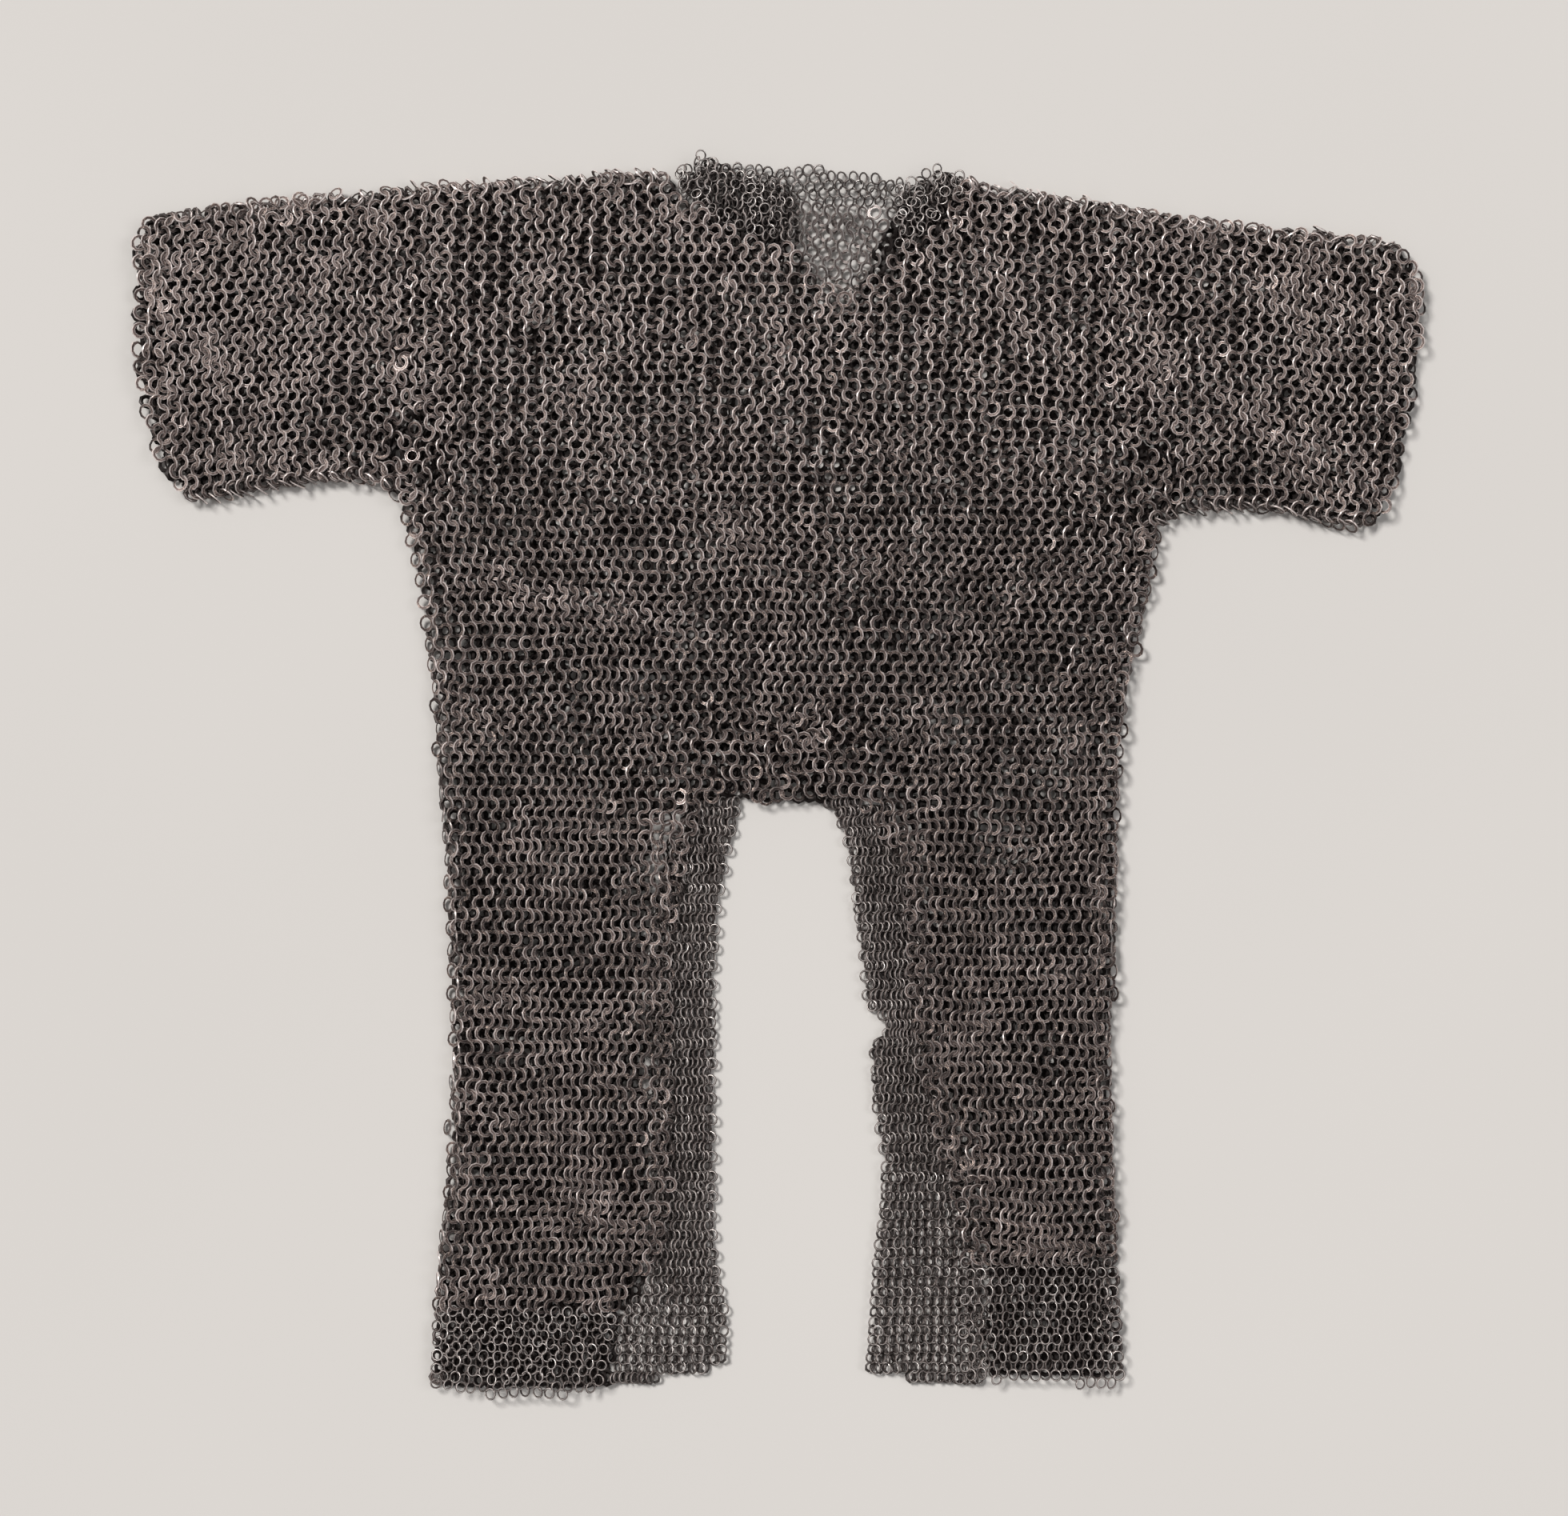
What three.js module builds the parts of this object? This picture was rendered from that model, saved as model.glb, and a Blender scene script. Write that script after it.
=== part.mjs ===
// Mail hauberk laid flat. A front layer of linked rings lies on a back layer, with short wide sleeves
// straight out, a V neck with a collar of small rings, and a skirt slit up the middle.
// Millimetres. +X is the wearer's left, +Y runs from hem to neck, +Z is up, and the mail rests on Z = 0.
// Each panel is a wall as thick as its leaning rings stand, without the rings themselves.

import * as THREE from "three";

// Driving sizes
const LAYER = 7; // one layer of mail: 13.4 mm rings leaning about 30 degrees
const GAP = 0.3; // clearance at every seam and between the two layers
const LIP = 1.2; // what is left of a layer at the very edge of a fold
const FOLD_RADIUS = 7; // how far in from a folded edge the layer reaches its full height
const STEP = 56; // longest spacing of sections along a panel
const SLEEVE_WALL = 9; // mail between the flat hollow of a sleeve and its folded edges
const SLIT_TOP = -17; // where the skirt halves part
const ARMPIT = { right: 222, left: 206 };
const FRONT_FLOOR = LAYER + GAP;

// Sides of the body from the slit to the shoulders, folded up to the armpit and seamed above it
const BODY_SIDES = [
  { y: SLIT_TOP, right: -274, left: 273 },
  { y: 40, right: -277, left: 277 },
  { y: 92, right: -281, left: 284 },
  { y: 144, right: -288, left: 295 },
  { y: 196, right: -299, left: 302 },
  { y: 222, right: -306, left: 307 },
  { y: 490, right: -306, left: 307 },
];
// Top edge of the front: folded shoulders, the slopes that the collar meets, and the V of the neck
const FRONT_TOP = [
  { x: -306, y: 477 },
  { x: -245, y: 481 },
  { x: -184, y: 485.5 },
  { x: -138, y: 488 },
  { x: -92, y: 489 },
  { x: -80, y: 479 },
  { x: -48, y: 449 },
  { x: -15, y: 438 },
  { x: 16, y: 433 },
  { x: 24, y: 414 },
  { x: 38, y: 402 },
  { x: 51, y: 392 },
  { x: 58, y: 392 },
  { x: 76, y: 404 },
  { x: 91, y: 418 },
  { x: 94, y: 427 },
  { x: 108, y: 434 },
  { x: 128, y: 449 },
  { x: 147, y: 476 },
  { x: 154, y: 485 },
  { x: 180, y: 477 },
  { x: 206, y: 474 },
  { x: 258, y: 465 },
  { x: 307, y: 458 },
];
const SHOULDER = { right: -92, left: 154 }; // where each folded shoulder ends at the collar
// Top edge of the back, which lies a little lower under the band of small rings behind the neck
const BACK_TOP = [
  { x: -306, y: 477 },
  { x: -184, y: 485.5 },
  { x: -92, y: 489 },
  { x: -78, y: 470 },
  { x: 30, y: 468 },
  { x: 138, y: 466 },
  { x: 154, y: 485 },
  { x: 206, y: 474 },
  { x: 307, y: 458 },
];
const NECK_BAND_TOP = [
  { x: -78, y: 489 },
  { x: -54, y: 502 },
  { x: -28, y: 499 },
  { x: 24, y: 499 },
  { x: 76, y: 494 },
  { x: 102, y: 484 },
  { x: 138, y: 489 },
];
// Collar: the small rings at each side of the neck, with a peak that stands past the shoulder
const COLLAR_RIGHT_TOP = [
  { x: -86, y: 494 },
  { x: -76, y: 501 },
  { x: -64, y: 508 },
  { x: -50, y: 502 },
  { x: -22, y: 493 },
  { x: 6, y: 487 },
  { x: 18, y: 487 },
];
const COLLAR_LEFT_TOP = [
  { x: 94, y: 483 },
  { x: 112, y: 488 },
  { x: 126, y: 496 },
  { x: 133, y: 497 },
  { x: 148, y: 490 },
];
const COLLAR_RIGHT_SIDES = [
  { y: 433, right: -86, left: 15 },
  { y: 487, right: -86, left: 6 },
];
const COLLAR_LEFT_SIDES = [
  { y: 427, right: 94.5, left: 148 },
  { y: 483, right: 96, left: 148 },
];

// Sleeves: the lower and upper folded edge at each section, from the armhole out to the cuff
const SLEEVE_RIGHT = [
  { x: -306 - GAP, low: 228, high: 477 },
  { x: -321, low: 240, high: 475.5 },
  { x: -340, low: 244, high: 474 },
  { x: -366, low: 243, high: 471 },
  { x: -392, low: 240, high: 468 },
  { x: -418, low: 236, high: 466 },
  { x: -444, low: 231, high: 464 },
  { x: -480, low: 226, high: 460 },
  { x: -500, low: 246, high: 457 },
  { x: -512, low: 272, high: 453 },
  { x: -518, low: 300, high: 446 },
  { x: -525, low: 345, high: 432 },
];
const SLEEVE_LEFT = [
  { x: 307 + GAP, low: 205, high: 458 },
  { x: 322, low: 214, high: 455 },
  { x: 336, low: 218, high: 452.5 },
  { x: 362, low: 219, high: 449 },
  { x: 388, low: 219, high: 446 },
  { x: 414, low: 217, high: 443 },
  { x: 440, low: 210, high: 440.5 },
  { x: 466, low: 205, high: 438 },
  { x: 492, low: 206, high: 435.5 },
  { x: 507, low: 250, high: 430 },
  { x: 517, low: 302, high: 423 },
  { x: 525, low: 370, high: 408 },
];

// Skirt: the folded side, the front layer's inner edge, where the back panel hands over to the strip
// of small rings, and that strip's edge, which is the slit's own
const SKIRT_RIGHT = [
  { y: SLIT_TOP, side: -274, front: -58, join: -78, slit: -27 },
  { y: -30, side: -273, front: -60, join: -80, slit: -33 },
  { y: -64, side: -269, front: -70, join: -90, slit: -40 },
  { y: -116, side: -266, front: -86, join: -106, slit: -49 },
  { y: -168, side: -265, front: -88, join: -108, slit: -52 },
  { y: -220, side: -264, front: -87, join: -107, slit: -52 },
  { y: -272, side: -264, front: -86, join: -106, slit: -52 },
  { y: -330, side: -267, front: -85, join: -106, slit: -52 },
  { y: -380, side: -273, front: -92, join: -108, slit: -52 },
  { y: -431, side: -277, front: -132, join: -110, slit: -48 },
  { y: -460, side: -280, front: -138, join: -110, slit: -43 },
  { y: -508, side: -281, front: -146, join: -110, slit: -44 },
];
const SKIRT_LEFT = [
  { y: SLIT_TOP, side: 273, front: 62, join: 84, slit: 27 },
  { y: -28, side: 273, front: 70, join: 92, slit: 43 },
  { y: -40, side: 273, front: 80, join: 100, slit: 51 },
  { y: -64, side: 272, front: 96, join: 116, slit: 57 },
  { y: -116, side: 272, front: 102, join: 122, slit: 62 },
  { y: -168, side: 270, front: 104, join: 124, slit: 69 },
  { y: -190, side: 268, front: 105, join: 125, slit: 71 },
  { y: -198, side: 267, front: 106, join: 126, slit: 84 },
  { y: -213, side: 267, front: 108, join: 128, slit: 86 },
  { y: -222, side: 267, front: 110, join: 130, slit: 74 },
  { y: -272, side: 268, front: 120, join: 140, slit: 77 },
  { y: -324, side: 270, front: 138, join: 158, slit: 85 },
  { y: -376, side: 272, front: 147, join: 167, slit: 81 },
  { y: -392, side: 273, front: 149, join: 169, slit: 79 },
  { y: -454, side: 277, front: 149, join: 169, slit: 74 },
  { y: -498, side: 279, front: 150, join: 170, slit: 71 },
];
const HEM_RIGHT = [
  { x: -281, y: -503 },
  { x: -230, y: -507 },
  { x: -184, y: -508 },
  { x: -132, y: -500 },
  { x: -80, y: -485 },
  { x: -44, y: -482 },
];
const HEM_LEFT = [
  { x: 69, y: -489 },
  { x: 102, y: -492 },
  { x: 206, y: -496 },
  { x: 279, y: -498 },
];
const HEM_BAND_TOP = { right: -431, left: -392 }; // small rings begin here on each front half

// The largest folds: soft ridges of the front layer, each turned by an angle in degrees from +X
const RIDGES = [
  { name: "above the slit", x: 10, y: 30, length: 90, width: 34, height: 2.4, turn: 0 },
  { name: "right armpit", x: -268, y: 262, length: 80, width: 30, height: 2.2, turn: 40 },
  { name: "left armpit", x: 262, y: 244, length: 84, width: 30, height: 2.2, turn: -38 },
  { name: "right chest", x: -130, y: 330, length: 110, width: 40, height: 1.6, turn: 18 },
  { name: "left chest", x: 170, y: 340, length: 100, width: 38, height: 1.6, turn: -22 },
  { name: "left skirt edge", x: 152, y: -330, length: 90, width: 30, height: 2, turn: -60 },
  { name: "right sleeve top", x: -420, y: 440, length: 130, width: 26, height: 1.4, turn: 4 },
  { name: "left sleeve top", x: 410, y: 418, length: 120, width: 26, height: 1.4, turn: -7 },
];

const steel = (colour) =>
  new THREE.MeshStandardMaterial({ color: colour, roughness: 0.42, metalness: 0.85 });
const LARGE_RINGS = steel("#544c4a");
const SMALL_RINGS = steel("#5d5654");

// The rows of a table on each side of a value, and how far the value is between them
function between(table, at, value) {
  const rows = [...table].sort((a, b) => a[at] - b[at]);
  const after = rows.findIndex((row) => row[at] > value);
  const i = THREE.MathUtils.clamp(after < 0 ? rows.length - 2 : after - 1, 0, rows.length - 2);
  const span = rows[i + 1][at] - rows[i][at];
  return { rows, i, span, share: THREE.MathUtils.clamp((value - rows[i][at]) / span, 0, 1) };
}

// Straight lines from row to row, for seams, where two panels have to share every corner
const straight = (table, at, column) => (value) => {
  const { rows, i, share } = between(table, at, value);
  return THREE.MathUtils.lerp(rows[i][column], rows[i + 1][column], share);
};

// Smooth curve that never runs past a row's own value: a cubic whose slope at each row is the harmonic
// mean of the slopes beside it, and level at every turning point
const curve = (table, at, column) => (value) => {
  const { rows, i, span, share } = between(table, at, value);
  const slope = (k) => (rows[k + 1][column] - rows[k][column]) / (rows[k + 1][at] - rows[k][at]);
  const slopeAtRow = (k) => {
    const before = slope(Math.max(k - 1, 0));
    const after = slope(Math.min(k, rows.length - 2));
    return before * after > 0 ? (2 * before * after) / (before + after) : 0;
  };
  const eased = share * share * (3 - 2 * share);
  const lean = share * (1 - share) * ((1 - share) * slopeAtRow(i) - share * slopeAtRow(i + 1));
  return THREE.MathUtils.lerp(rows[i][column], rows[i + 1][column], eased) + span * lean;
};

const constant = (value) => () => value;
const shifted = (line, offset) => (value) => line(value) + offset;

// Height of a layer as a share of its full height, at this distance in from its nearest fold
function foldRise(distance) {
  const share = THREE.MathUtils.clamp(distance / FOLD_RADIUS, 0, 1);
  return Math.sqrt(1 - (1 - share) ** 2);
}

function ridgeHeight(x, y) {
  let height = 0;
  for (const ridge of RIDGES) {
    const turn = THREE.MathUtils.degToRad(ridge.turn);
    const along = (x - ridge.x) * Math.cos(turn) + (y - ridge.y) * Math.sin(turn);
    const across = (y - ridge.y) * Math.cos(turn) - (x - ridge.x) * Math.sin(turn);
    height += ridge.height * Math.exp(-((along / ridge.length) ** 2) - (across / ridge.width) ** 2);
  }
  return height;
}

// Shares from 0 to 1 at a spacing of STEP or less, with the extra ones given
function shares(length, extra = []) {
  const count = Math.max(1, Math.ceil(length / STEP));
  const even = Array.from({ length: count + 1 }, (_, i) => i / count);
  const clear = even.filter((s) => s === 0 || s === 1 || extra.every((e) => Math.abs(e - s) * length > 9));
  return [...new Set([...clear, ...extra])].sort((a, b) => a - b);
}

// Sections close to a folded edge, as distances in from it
const FOLD_INSETS = [0.14, 0.45, 1].map((share) => share * FOLD_RADIUS);

function closedMesh(name, material, points, faces) {
  const geometry = new THREE.BufferGeometry();
  geometry.setAttribute("position", new THREE.Float32BufferAttribute(points.flat(), 3));
  geometry.setIndex(faces);
  geometry.computeVertexNormals();
  const mesh = new THREE.Mesh(geometry, material);
  mesh.name = name;
  return mesh;
}

// A panel between two side lines x(y) and two end lines y(x). Its formed face takes the folds and
// ridges, and its flat face lies on the other layer. A front panel is formed above, a back one below.
function panel(name, material, { layer, from, to, right, left, foot, top, folds = {}, columns = [], rows = [] }) {
  const middle = (from + to) / 2;
  const width = left(middle) - right(middle);
  const height = to - from;
  const sideInsets = FOLD_INSETS.map((inset) => inset / width);
  const across = shares(width, [
    ...(folds.right ? sideInsets : []),
    ...(folds.left ? sideInsets.map((share) => 1 - share) : []),
    ...columns,
  ]);
  const up = shares(height, [
    ...(folds.top ? FOLD_INSETS.map((inset) => 1 - inset / height) : []),
    ...rows.map((y) => (y - from) / height),
  ]);
  const formed = [];
  const flat = [];
  const flatHeight = layer === "front" ? FRONT_FLOOR : LAYER;
  for (const v of up) {
    const level = THREE.MathUtils.lerp(from, to, v);
    for (const u of across) {
      const x = THREE.MathUtils.lerp(right(level), left(level), u);
      const y = THREE.MathUtils.lerp(foot(x), top(x), v);
      const distances = [FOLD_RADIUS];
      if (folds.right?.(x, y)) distances.push(x - right(level));
      if (folds.left?.(x, y)) distances.push(left(level) - x);
      if (folds.top?.(x, y)) distances.push(top(x) - y);
      const rise = foldRise(Math.min(...distances));
      const thick = LIP + (LAYER - LIP) * rise;
      formed.push([x, y, layer === "front" ? flatHeight + thick + rise * ridgeHeight(x, y) : flatHeight - thick]);
      flat.push([x, y, flatHeight]);
    }
  }
  const wide = across.length;
  const tall = up.length;
  const upper = layer === "front" ? 0 : wide * tall; // index of the upper face's first point
  const lower = layer === "front" ? wide * tall : 0;
  const faces = [];
  for (let j = 0; j < tall - 1; j += 1) {
    for (let i = 0; i < wide - 1; i += 1) {
      const a = j * wide + i;
      const [b, c, d] = [a + 1, a + wide + 1, a + wide];
      faces.push(upper + a, upper + b, upper + c, upper + a, upper + c, upper + d);
      faces.push(lower + a, lower + c, lower + b, lower + a, lower + d, lower + c);
    }
  }
  const rim = [
    ...Array.from({ length: wide - 1 }, (_, i) => i),
    ...Array.from({ length: tall - 1 }, (_, j) => (j + 1) * wide - 1),
    ...Array.from({ length: wide - 1 }, (_, i) => wide * tall - 1 - i),
    ...Array.from({ length: tall - 1 }, (_, j) => (tall - 1 - j) * wide),
  ];
  rim.forEach((a, k) => {
    const b = rim[(k + 1) % rim.length];
    faces.push(lower + a, lower + b, upper + b, lower + a, upper + b, upper + a);
  });
  return closedMesh(name, material, [...formed, ...flat], faces);
}

// A sleeve: one flattened tube through closed rings, a ring for each section along the arm. The outer
// ring follows both layers round the folds, and the inner one is the flat hollow, open at both ends.
function sleeve(name, material, sections) {
  const width = sections[2].high - sections[2].low;
  const insets = FOLD_INSETS.map((inset) => inset / width);
  const across = shares(width, [...insets, ...insets.map((share) => 1 - share)]);
  const ordered = sections[0].x < sections.at(-1).x ? sections : [...sections].reverse();
  const points = [];
  for (const { x, low, high } of ordered) {
    const span = high - low;
    const outer = across.map((share) => {
      const y = low + share * span;
      const rise = foldRise(Math.min(share, 1 - share) * width);
      const thick = LIP + (LAYER - LIP) * rise;
      return { y, above: FRONT_FLOOR + thick + rise * ridgeHeight(x, y), below: LAYER - thick };
    });
    const inner = across.map((share) => low + SLEEVE_WALL + share * (span - 2 * SLEEVE_WALL));
    points.push(...outer.map(({ y, above }) => [x, y, above]));
    points.push(...outer.map(({ y, below }) => [x, y, below]).reverse());
    points.push(...inner.map((y) => [x, y, FRONT_FLOOR]));
    points.push(...inner.map((y) => [x, y, LAYER]).reverse());
  }
  const ring = 2 * across.length;
  const faces = [];
  const quad = (a, b, c, d) => faces.push(a, b, c, a, c, d);
  for (let s = 0; s < ordered.length; s += 1) {
    const outer = s * 2 * ring;
    const inner = outer + ring;
    const next = 2 * ring;
    for (let k = 0; k < ring; k += 1) {
      const l = (k + 1) % ring;
      if (s < ordered.length - 1) {
        quad(outer + k, outer + k + next, outer + l + next, outer + l);
        quad(inner + k, inner + l, inner + l + next, inner + k + next);
      }
      if (s === 0) quad(outer + k, outer + l, inner + l, inner + k);
      if (s === ordered.length - 1) quad(outer + k, inner + k, inner + l, outer + l);
    }
  }
  return closedMesh(name, material, points, faces);
}

// Body: front and back from the slit to the shoulders
const bodyRight = curve(BODY_SIDES, "y", "right");
const bodyLeft = curve(BODY_SIDES, "y", "left");
const frontTop = straight(FRONT_TOP, "x", "y");
const backTop = straight(BACK_TOP, "x", "y");
const bodyWidth = bodyLeft(490) - bodyRight(490);
const columnAt = ({ x }) => (x - bodyRight(490)) / bodyWidth;
const bodyFolds = {
  right: (x, y) => y < ARMPIT.right,
  left: (x, y) => y < ARMPIT.left,
  top: (x) => x < SHOULDER.right || x > SHOULDER.left,
};
const body = { from: SLIT_TOP, to: 490, right: bodyRight, left: bodyLeft, foot: constant(SLIT_TOP), folds: bodyFolds };

function bodyPanels() {
  return [
    panel("body_front", LARGE_RINGS, {
      ...body,
      layer: "front",
      top: frontTop,
      columns: FRONT_TOP.map(columnAt),
      rows: [ARMPIT.left, ARMPIT.right],
    }),
    panel("body_back", LARGE_RINGS, {
      ...body,
      layer: "back",
      top: backTop,
      columns: BACK_TOP.map(columnAt),
      rows: [ARMPIT.left, ARMPIT.right],
    }),
  ];
}

// Neck: the band behind it and the two collar pieces beside the V. Each has a column at every corner
// of the seam below it and of its own top edge.
function seamColumns(table, right, left) {
  const inside = table.filter(({ x }) => x > right + 1 && x < left - 1);
  return inside.map(({ x }) => (x - right) / (left - right));
}

function collar(side, table, sides, from, to) {
  const right = curve(sides, "y", "right");
  const left = curve(sides, "y", "left");
  return panel(`collar_${side}`, SMALL_RINGS, {
    layer: "front",
    from,
    to,
    right,
    left,
    foot: shifted(frontTop, GAP),
    top: curve(table, "x", "y"),
    columns: [...seamColumns(FRONT_TOP, right(from), left(from)), ...seamColumns(table, right(to), left(to))],
  });
}

function neckPanels() {
  const [bandRight, bandLeft] = [BACK_TOP[3].x, BACK_TOP[5].x];
  return [
    panel("neck_band", SMALL_RINGS, {
      layer: "back",
      from: 470,
      to: 499,
      right: constant(bandRight),
      left: constant(bandLeft),
      foot: shifted(backTop, GAP),
      top: curve(NECK_BAND_TOP, "x", "y"),
      columns: seamColumns(NECK_BAND_TOP, bandRight, bandLeft),
    }),
    collar("right", COLLAR_RIGHT_TOP, COLLAR_RIGHT_SIDES, 433, 487),
    collar("left", COLLAR_LEFT_TOP, COLLAR_LEFT_SIDES, 427, 483),
  ];
}

// One half of the skirt: its front, the hem band below it, the back, and the strip along the slit
function skirtPanels(half, table, hem) {
  const side = curve(table, "y", "side");
  const front = curve(table, "y", "front");
  const join = curve(table, "y", "join");
  const slit = curve(table, "y", "slit");
  const foot = curve(hem, "x", "y");
  const onRight = half === "right";
  const lowest = table.at(-1).y;
  const seam = HEM_BAND_TOP[half];
  const sides = (outer, inner) => (onRight ? { right: outer, left: inner } : { right: inner, left: outer });
  const folds = { [half]: () => true };
  const head = SLIT_TOP - GAP;
  const tableRows = table.slice(1, -1).map((row) => row.y);
  const inward = onRight ? GAP : -GAP;
  return [
    panel(`skirt_front_${half}`, LARGE_RINGS, {
      layer: "front",
      from: seam + GAP,
      to: head,
      foot: constant(seam + GAP),
      top: constant(head),
      folds,
      ...sides(side, front),
    }),
    panel(`hem_band_${half}`, SMALL_RINGS, {
      layer: "front",
      from: lowest,
      to: seam,
      foot,
      top: constant(seam),
      folds,
      ...sides(side, front),
    }),
    panel(`skirt_back_${half}`, LARGE_RINGS, {
      layer: "back",
      from: lowest,
      to: head,
      foot,
      top: constant(head),
      rows: tableRows,
      folds,
      ...sides(side, join),
    }),
    panel(`slit_strip_${half}`, SMALL_RINGS, {
      layer: "back",
      from: lowest,
      to: head,
      foot,
      top: constant(head),
      rows: tableRows,
      ...sides(shifted(join, inward), slit),
    }),
  ];
}

const hauberk = new THREE.Group();
hauberk.name = "mail_hauberk";
hauberk.add(...bodyPanels());
hauberk.add(...neckPanels());
hauberk.add(sleeve("sleeve_right", LARGE_RINGS, SLEEVE_RIGHT));
hauberk.add(sleeve("sleeve_left", LARGE_RINGS, SLEEVE_LEFT));
hauberk.add(...skirtPanels("right", SKIRT_RIGHT, HEM_RIGHT));
hauberk.add(...skirtPanels("left", SKIRT_LEFT, HEM_LEFT));

export default hauberk;
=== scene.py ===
# Mail hauberk laid flat on a pale table, made ring by ring in the European four-in-one weave.
# Metres. +X is the wearer's left, +Y runs from hem to neck, +Z is up, and the mail rests on Z = 0.
# Rings stand in level rows. They lean one way in one row and the other way in the next, and every
# other row is half a ring across, so each ring meets two rings above it and two below it.
import bpy
import math
import numpy as np
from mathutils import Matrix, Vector


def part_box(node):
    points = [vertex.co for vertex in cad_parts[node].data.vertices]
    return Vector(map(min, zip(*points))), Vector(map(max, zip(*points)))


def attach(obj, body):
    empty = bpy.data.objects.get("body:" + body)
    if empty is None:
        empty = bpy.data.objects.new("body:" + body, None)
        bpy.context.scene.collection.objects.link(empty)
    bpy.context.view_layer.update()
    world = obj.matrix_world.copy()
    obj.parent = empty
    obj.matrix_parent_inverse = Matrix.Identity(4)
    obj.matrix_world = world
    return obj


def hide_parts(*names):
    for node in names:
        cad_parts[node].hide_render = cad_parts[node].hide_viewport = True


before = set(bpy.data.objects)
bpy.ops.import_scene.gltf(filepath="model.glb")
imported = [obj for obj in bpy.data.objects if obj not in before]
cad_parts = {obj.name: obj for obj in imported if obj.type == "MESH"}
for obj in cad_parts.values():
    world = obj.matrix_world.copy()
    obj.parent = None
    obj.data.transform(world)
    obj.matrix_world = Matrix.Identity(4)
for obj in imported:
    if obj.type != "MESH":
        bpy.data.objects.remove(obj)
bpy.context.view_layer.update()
mm = 0.001
print("frame loaded:", len(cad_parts), "panels")

# Camera: straight above, as the hauberk lies. It spans "width" at the mail's level.
cameraSettings = {"lens": 85, "sensor": 36, "width": 1.274, "across": 0.0042, "up": 0.0153, "level": 0.011}
camera = bpy.data.objects.new("camera", bpy.data.cameras.new("camera"))
camera.data.lens, camera.data.sensor_width = cameraSettings["lens"], cameraSettings["sensor"]
distance = cameraSettings["width"] * cameraSettings["lens"] / cameraSettings["sensor"]
camera.location = (cameraSettings["across"], cameraSettings["up"], cameraSettings["level"] + distance)
bpy.context.scene.collection.objects.link(camera)
bpy.context.scene.camera = camera
bpy.context.scene.view_settings.view_transform = "Standard"
print("camera set")

outlineSettings = {"levels": 240, "inset": 0.01 * mm, "levelEdge": 1e-9, "rowSteps": 2000}


# A panel's reach: every edge of its mesh that crosses a level is cut there in proportion, and the
# least and greatest cuts are kept. Levels run along one axis, 0 or 1, and the cuts along the other.
def outline(panel, along):
    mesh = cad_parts[panel].data
    points = np.zeros(len(mesh.vertices) * 3, np.float32)
    mesh.vertices.foreach_get("co", points)
    ends = np.zeros(len(mesh.edges) * 2, np.int32)
    mesh.edges.foreach_get("vertices", ends)
    points = points.reshape(-1, 3)[:, :2].astype(float)
    first, last = points[ends[0::2]], points[ends[1::2]]
    inset, least = outlineSettings["inset"], outlineSettings["levelEdge"]
    start, stop = points[:, along].min() + inset, points[:, along].max() - inset
    levels = np.linspace(start, stop, outlineSettings["levels"])
    run = (last - first)[:, along]
    share = (levels - first[:, along, None]) / np.where(np.abs(run) < least, least, run)[:, None]
    cut = first[:, 1 - along, None] + share * (last - first)[:, 1 - along, None]
    inside = (share >= 0) & (share <= 1)
    return levels, np.where(inside, cut, np.inf).min(0), np.where(inside, cut, -np.inf).max(0)


outlines = {(name, along): outline(name, along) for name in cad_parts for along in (0, 1)}
print("outlines read")


# Lowest or highest reach of a panel, in a straight line between the nearest cuts. Along 1 gives its
# right or left side at a level, and along 0 its foot or top at a place across.
def low(panel, along, level):
    return np.interp(level, outlines[panel, along][0], outlines[panel, along][1])


def high(panel, along, level):
    return np.interp(level, outlines[panel, along][0], outlines[panel, along][2])


# Distance in from a panel's right side (sign -1) or left side (sign 1) at the ring's own level
def sideIn(panel, sign, x, y):
    return x - low(panel, 1, y) if sign < 0 else high(panel, 1, y) - x


# Ease from 0 to 1 as a value goes from start to end, level at both: 3s^2 - 2s^3
def ease(value, start, end):
    share = np.clip((value - start) / (end - start), 0, 1)
    return share * share * (3 - 2 * share)


waves = {"count": 7, "shortest": 0.6, "longest": 1.7}


# Slow wander of hand-made cloth: the sum of seven sine waves over the root of seven, with seeded
# directions and phases, and lengths of 0.6 to 1.7 times the one given
def wander(x, y, length, seed):
    dice = np.random.default_rng(seed)
    count = waves["count"]
    turn, phase = dice.uniform(0, 2 * math.pi, count), dice.uniform(0, 2 * math.pi, count)
    size = length * dice.uniform(waves["shortest"], waves["longest"], count)
    run = x[..., None] * np.cos(turn) + y[..., None] * np.sin(turn)
    return np.sin(2 * math.pi * run / size + phase).sum(-1) / count**0.5


# Places where the mail is ruffled, in millimetres: middle across and up, reach across and up, strength
ruffles = [
    (10, 22, 78, 34, 1.0), (-300, 262, 34, 46, 0.7), (302, 244, 36, 44, 0.7), (-288, 350, 24, 90, 0.35),
    (294, 330, 24, 90, 0.35), (-46, 470, 46, 34, 0.8), (118, 466, 34, 34, 1.0), (-512, 330, 16, 130, 0.6),
    (512, 330, 16, 130, 0.5), (-410, 466, 110, 12, 0.9), (410, 440, 110, 12, 0.9), (-196, 484, 90, 9, 0.6),
    (226, 470, 70, 9, 0.6), (150, -330, 22, 60, 0.5), (-90, -60, 22, 60, 0.5), (-170, 380, 60, 40, 0.3),
    (52, 400, 30, 20, 0.6),
]


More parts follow.
